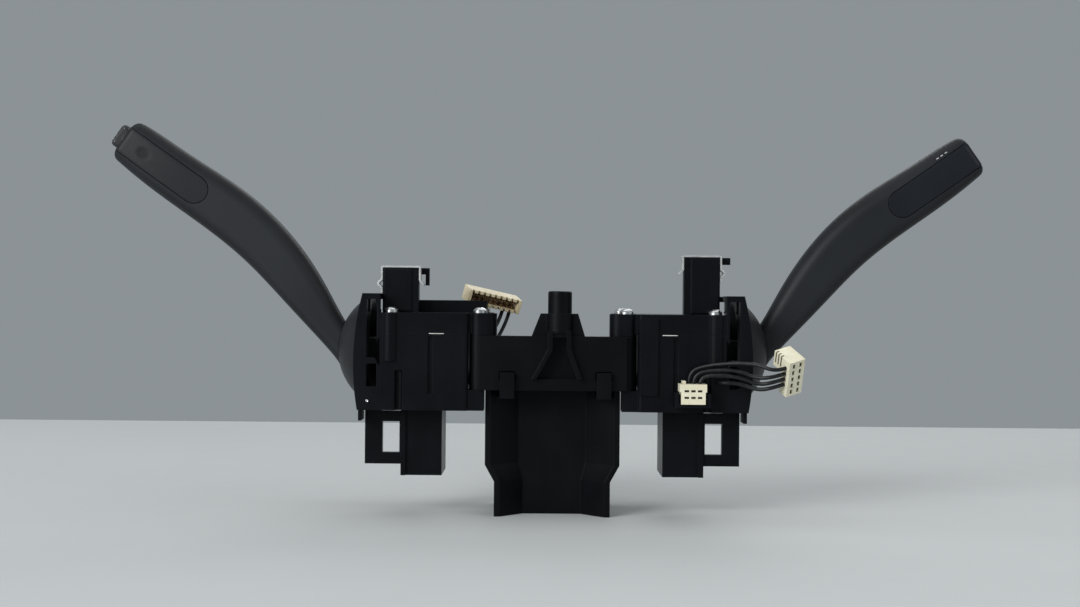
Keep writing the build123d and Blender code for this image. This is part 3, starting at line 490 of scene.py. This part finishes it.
# Bezel pin: a small turned steel pin, plated with zinc and dished on the end.
# It is pressed into the lower front corner of the turn side's cage.

PIN_RADIUS = 0.0005
PIN_LENGTH = 0.0008
PIN_PLACE = (-0.0711, -0.0374, 0.0446)
PIN_RIM = 0.00018
PIN_DISH = 0.00020
PIN_ROUNDING = 0.00008
bpy.ops.object.select_all(action="DESELECT")
bpy.ops.mesh.primitive_cylinder_add(vertices=24, radius=PIN_RADIUS, depth=PIN_LENGTH,
                                    rotation=(math.radians(90), 0, 0), location=PIN_PLACE)
pin = bpy.context.object
pin.name = "left_bezel_pin"
step_front(pin, PIN_RIM, PIN_DISH)
soften(pin, PIN_ROUNDING)
pin.data.materials.append(screw_zinc)
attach(pin, "base")


# Contact boards and the small board in the stalk tip: green glass laminate with tinned tracks.
# The contact boards are heat-staked to the box floors.

LAMINATE_DARK = (0.012, 0.075, 0.030, 1)
LAMINATE_LIGHT = (0.020, 0.105, 0.045, 1)
TRACK_GREEN = (0.09, 0.20, 0.08, 1)
laminate, place, feed = new_finish("board_laminate", {"Specular IOR Level": 0.5})
weave = place.node("TexWave", {"wave_type": "BANDS", "bands_direction": "DIAGONAL"},
                   {"Vector": place, "Scale": 160.0, "Distortion": 1.5, "Detail": 1.0})
track = place.node("TexBrick", {"offset": 0.5},
                   {"Vector": place, "Scale": 260.0, "Mortar Size": 0.03}, "Fac")
green = weave.between(0.2, 0.8).blend(LAMINATE_DARK, LAMINATE_LIGHT)
feed("Base Color", track.blend(green, TRACK_GREEN))
feed("Roughness", 0.32 + 0.2 * cloud(place, 300.0))
feed("Normal", bumped(place, track, strength=0.3, distance=0.00004))
dress(laminate, "left_contact_board", "right_contact_board", "left_tip_board")


# Terminals in the sockets and the pins of the header: blades of copper alloy,
# stamped from strip, a little tarnished, and pressed into the plastic.

COPPER_BRIGHT = (0.78, 0.47, 0.25, 1)
COPPER_TARNISHED = (0.48, 0.26, 0.13, 1)
copper, place, feed = new_finish("pin_copper", {"Metallic": 1.0})
tarnish = cloud(place, 380.0, 3.0)
drawn = cloud(stretched(place, (4, 4, 0.3)), 1400.0)
feed("Base Color", tarnish.between(0.35, 0.7).blend(COPPER_BRIGHT, COPPER_TARNISHED))
feed("Roughness", 0.26 + 0.2 * tarnish)
feed("Normal", bumped(place, drawn, strength=0.15, distance=0.00003))
dress(copper, "left_terminals", "right_terminals", "left_header_pins")


# Lever hubs: the ball-shaped shells that close the bezel openings, moulded in charcoal nylon
# with the lever's tail inside. They turn with the stalks.

DENT_DARK = (0.0050, 0.0048, 0.0068, 1)
PALE_MARK = (0.36, 0.37, 0.37, 1)


def charcoal(name, colour, grain_scale, grain_depth, roughness, wear,
             rub_and_face_light=1.0, pale=None, dent=None):
    """Pebbled charcoal nylon, paler along the edges that hands rub; the faces turned to the front and
    back are made paler as a painted highlight.

    pale() gives where it is marked pale, and dent() where it is hollow and dark.
    """
    finish, place, feed = new_finish(name, {"Specular IOR Level": 0.14})
    patch = cloud(place, 38.0, 4.0, 0.6)
    pebble = place.node("TexVoronoi", {"feature": "SMOOTH_F1"},
                        {"Vector": place, "Scale": grain_scale, "Smoothness": 0.6})
    fine = cloud(place, grain_scale * 1.7)
    lines = stretched(place, (9, 1, 1), turn=(0.3, 0.8, 0.2))
    scratch = cloud(lines, 170.0, 4.0, 0.7).between(0.64, 0.70)
    soft = soft_normal(place, radius=0.0004)
    greyer = times(colour, 1.45)
    body = patch.between(0.32, 0.68).blend(colour, greyer)
    # Painted highlight: the faces that turn to the front and back are painted paler.
    painted_face_light = abs(along_axis(true_normal(place), "Y")).between(0.72, 0.99)
    body = (painted_face_light * (0.55 + 0.45 * patch)).limited().blend(body, times(greyer, rub_and_face_light))
    rubbed = near_edge(place, soft) * cloud(place, 240.0, 3.0).between(0.4, 0.62)
    paled = ((rubbed + 0.45 * scratch) * wear).limited()
    body = paled.blend(body, times(colour, 2.6))
    if dent:
        hollow = dent(place)
        # Darker towards the middle of the hollow.
        body = (0.8 * hollow).blend(body, DENT_DARK)
        soft = bumped(place, 1 - hollow, strength=0.3, distance=0.0004, normal=soft)
    if pale:
        body = pale(place).blend(body, PALE_MARK)
    feed("Base Color", body)
    feed("Roughness", roughness + 0.22 * (patch - 0.5) - 0.08 * paled)
    feed("Normal", bumped(place, pebble + 0.6 * fine, strength=0.4, distance=grain_depth, normal=soft))
    return finish


hub_charcoal = charcoal("hub_charcoal", (0.0140, 0.0152, 0.0172, 1), grain_scale=1900.0,
                        grain_depth=0.00005, roughness=0.46, wear=0.7)
dress(hub_charcoal, "left_lever_hub", "right_lever_hub")


# Stalk arms: glass-filled nylon, moulded in charcoal with a pebbled grain, pressed on the hub.
# Years of hands have rubbed the grain paler along the edges; the faces turned to the front and back are
# painted paler as a painted highlight, and the wiper stalk has three printed dashes.

stalk_charcoal = charcoal("stalk_charcoal", (0.0105, 0.0116, 0.0134, 1), grain_scale=1500.0,
                          grain_depth=0.00006, roughness=0.46, wear=0.9, rub_and_face_light=1.35)
dress(stalk_charcoal, "left_stalk_arm")

DASH_START = (0.1510, 0.1408)
DASH_LEAN = math.radians(35)
DASH_PITCH = 0.0020
DASH_SHARE = 0.52
DASH_HALF_WIDTH = 0.00015
DASHES_END = 0.0056
PADDLE_FRONT = -0.0176
NICKS_MIDDLE = (0.1200, -0.0150, 0.1250)
NICKS_NEAR, NICKS_FAR = 0.0020, 0.0060


def on_line(place, start, lean):
    """How far a point lies along and across a line in the XZ plane."""
    x = along_axis(place, "X") - start[0]
    z = along_axis(place, "Z") - start[1]
    return x * math.cos(lean) + z * math.sin(lean), z * math.cos(lean) - x * math.sin(lean)


def step_dashes(place):
    """Three short printed dashes beside the wiper paddle's tongue, and nicks on the upper bend."""
    along, across = on_line(place, DASH_START, DASH_LEAN)
    part = along.maths("FRACT", along / DASH_PITCH)
    run = along.between(-0.00005, 0.00005) * (1 - along.between(DASHES_END, DASHES_END + 0.0001))
    dash = 1 - part.between(DASH_SHARE, DASH_SHARE + 0.06)
    dash = dash * (1 - abs(across).between(DASH_HALF_WIDTH, DASH_HALF_WIDTH + 0.00009))
    front = 1 - along_axis(place, "Y").between(PADDLE_FRONT, PADDLE_FRONT + 0.0004)
    dash = dash * run * front * cloud(place, 900.0).between(0.34, 0.44)
    away = place.node("VectorMath", {"operation": "DISTANCE"}, {0: place, 1: NICKS_MIDDLE}, "Value")
    nick = cloud(place, 900.0, 3.0, 0.7).between(0.58, 0.66) * (1 - away.between(NICKS_NEAR, NICKS_FAR))
    return (dash + 0.22 * nick).limited()


stalk_printed = charcoal("stalk_printed", (0.0092, 0.0103, 0.0122, 1), grain_scale=1500.0,
                         grain_depth=0.00006, roughness=0.46, wear=0.9, rub_and_face_light=1.2, pale=step_dashes)
dress(stalk_printed, "right_stalk_arm")


# Stalk inserts: smooth tongues of the same nylon with a finer grain, let into the paddles
# and snapped in. The turn side's has a shallow hollow where the thumb rests, coloured darker towards
# its middle.

insert_charcoal = charcoal("insert_charcoal", (0.0070, 0.0082, 0.0112, 1), grain_scale=2600.0,
                           grain_depth=0.00004, roughness=0.40, wear=0.6)
dress(insert_charcoal, "right_stalk_insert")

DENT_MIDDLE = (-0.1622, 0.1402)
DENT_LEAN = math.radians(-36)
DENT_HALF_LENGTH = 0.0040
DENT_HALF_WIDTH = 0.0030


def thumb_dent(place):
    """A shallow oval dent in the turn stalk's tongue, along the stalk, where the thumb rests."""
    along, across = on_line(place, DENT_MIDDLE, DENT_LEAN)
    along = along / DENT_HALF_LENGTH
    across = across / DENT_HALF_WIDTH
    away = place.maths("SQRT", along * along + across * across)
    return 1 - away.between(0.35, 1.0)


insert_dented = charcoal("insert_dented", (0.0096, 0.0110, 0.0126, 1), grain_scale=2600.0,
                         grain_depth=0.00004, roughness=0.42, wear=0.6, dent=thumb_dent)
dress(insert_dented, "left_stalk_insert")


# End button in the left stalk's tip: a moulded charcoal cap that slides on a spring.
# Its face has been knocked and scuffed pale.

def scuffs(place):
    """Pale scuffs where the button has been knocked."""
    knocked = cloud(place, 520.0, 4.0, 0.7).between(0.58, 0.64)
    return 0.6 * knocked * cloud(place, 1700.0).between(0.35, 0.6)


button_charcoal = charcoal("button_charcoal", (0.0190, 0.0198, 0.0210, 1), grain_scale=2400.0,
                           grain_depth=0.00004, roughness=0.46, wear=1.0, pale=scuffs)
dress(button_charcoal, "left_end_button")


# Plugs and header: ivory nylon, moulded glossy with open cavities, and darker in the corners, as dirt
# and painted shade.
# The six-way plug snaps into its holder and the others hang on their leads; the header on the
# turn side is toned browner and darker, as painted shade for its dark cavities.

def aged_ivory(name, clean, yellowed, dirt_and_shade):
    """Ivory nylon, yellowed in patches, with dirt and painted shade where the surface is shut in."""
    finish, place, feed = new_finish(name, {"Specular IOR Level": 0.5})
    patch = cloud(place, 240.0, 3.0)
    open_sky = place.node("AmbientOcclusion", {"samples": 4}, {"Distance": 0.0016}, "AO")
    aged = patch.between(0.3, 0.7).blend(clean, yellowed)
    # Dirt and painted shade: darker where the surface is shut in.
    feed("Base Color", (1 - open_sky).between(0.15, 0.95).blend(aged, dirt_and_shade))
    feed("Roughness", 0.40 + 0.15 * patch)
    soft = soft_normal(place, radius=0.00018)
    feed("Normal", bumped(place, cloud(place, 1500.0), strength=0.15, distance=0.00004, normal=soft))
    return finish


plug_ivory = aged_ivory("plug_ivory", clean=(0.74, 0.71, 0.55, 1), yellowed=(0.66, 0.62, 0.46, 1),
                        dirt_and_shade=(0.20, 0.16, 0.10, 1))
# Painted shade: the header's colours are set browner and darker for the shade in its cavities.
header_ivory = aged_ivory("header_ivory", clean=(0.68, 0.61, 0.42, 1),
                          yellowed=(0.58, 0.50, 0.32, 1), dirt_and_shade=(0.16, 0.10, 0.05, 1))
dress(plug_ivory, "six_way_plug", "ten_way_plug")
dress(header_ivory, "left_header")
